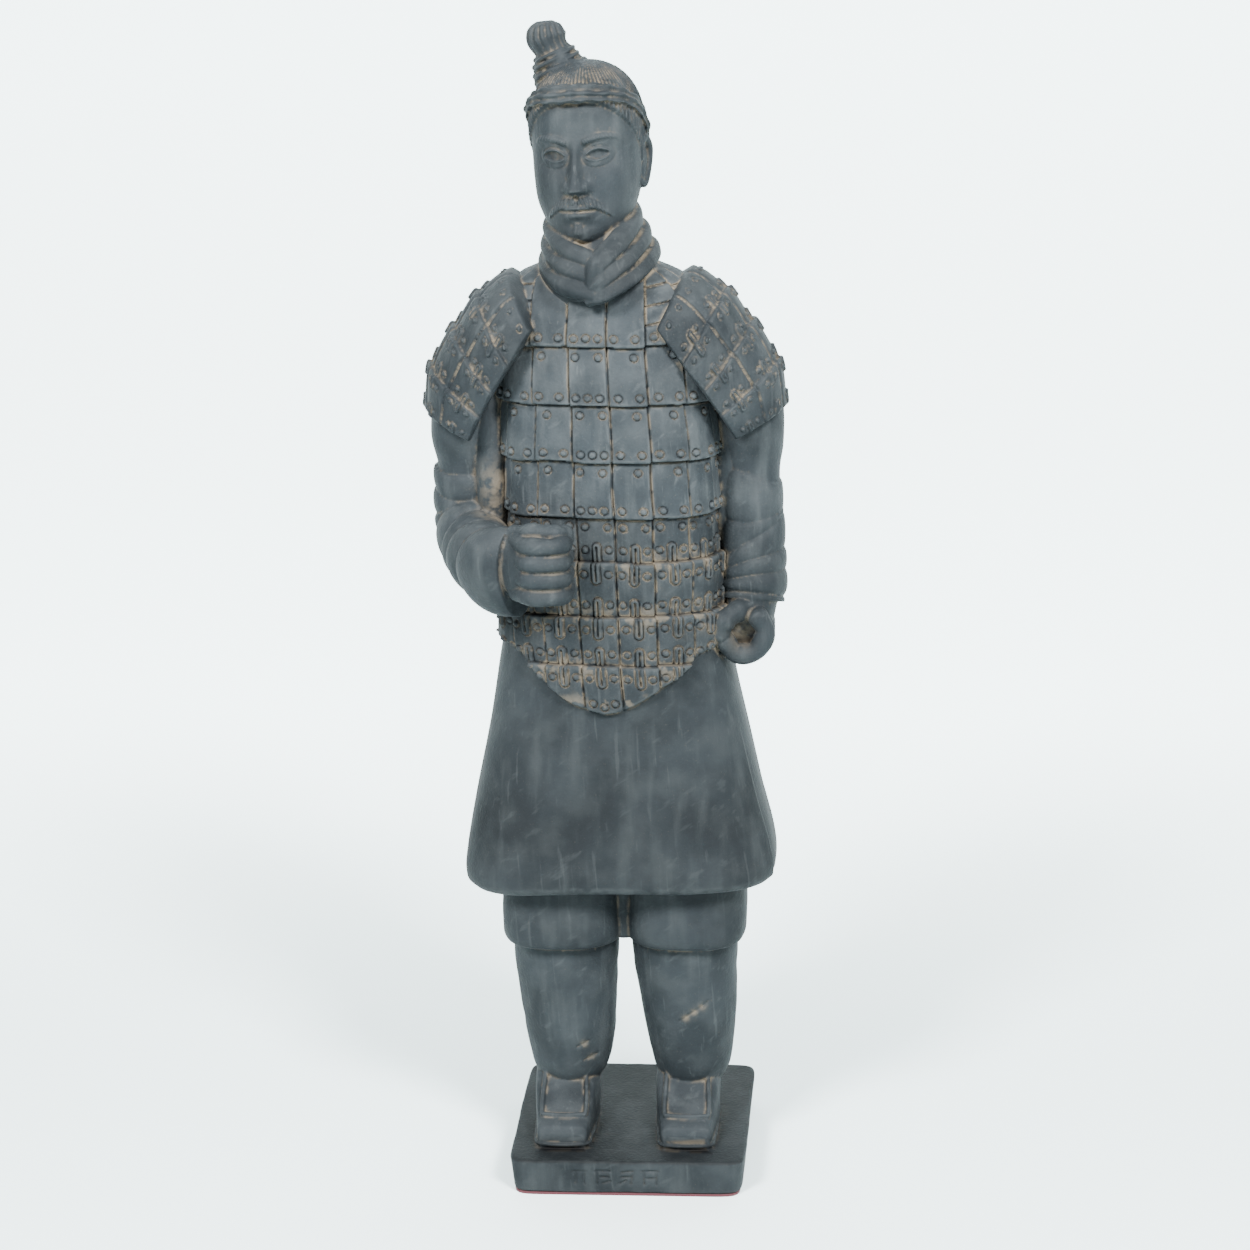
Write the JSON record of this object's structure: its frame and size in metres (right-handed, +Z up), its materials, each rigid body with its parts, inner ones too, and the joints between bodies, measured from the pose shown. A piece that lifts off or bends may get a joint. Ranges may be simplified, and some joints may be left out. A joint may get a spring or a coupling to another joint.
{
  "type": "terracotta warrior statue",
  "caption": "Standing robed warrior in plate armour with a leaning topknot, one fist at the belly, on a square plinth.",
  "frame": {"origin": "centre of the underside of the felt pad, where the statue stands", "axes": "+Z up through the figure, the figure faces -Y, +X towards its own left hand (the viewer's right)"},
  "size_m": [0.1526, 0.1129, 0.5],
  "materials": {
    "fired_clay": "matt dark blue-grey fired clay with tan wash left in the recesses",
    "felt": "dark red felt"
  },
  "bodies": {
    "root": {"warrior_casting": "fired_clay", "felt_pad": "felt"}
  },
  "joints": []
}
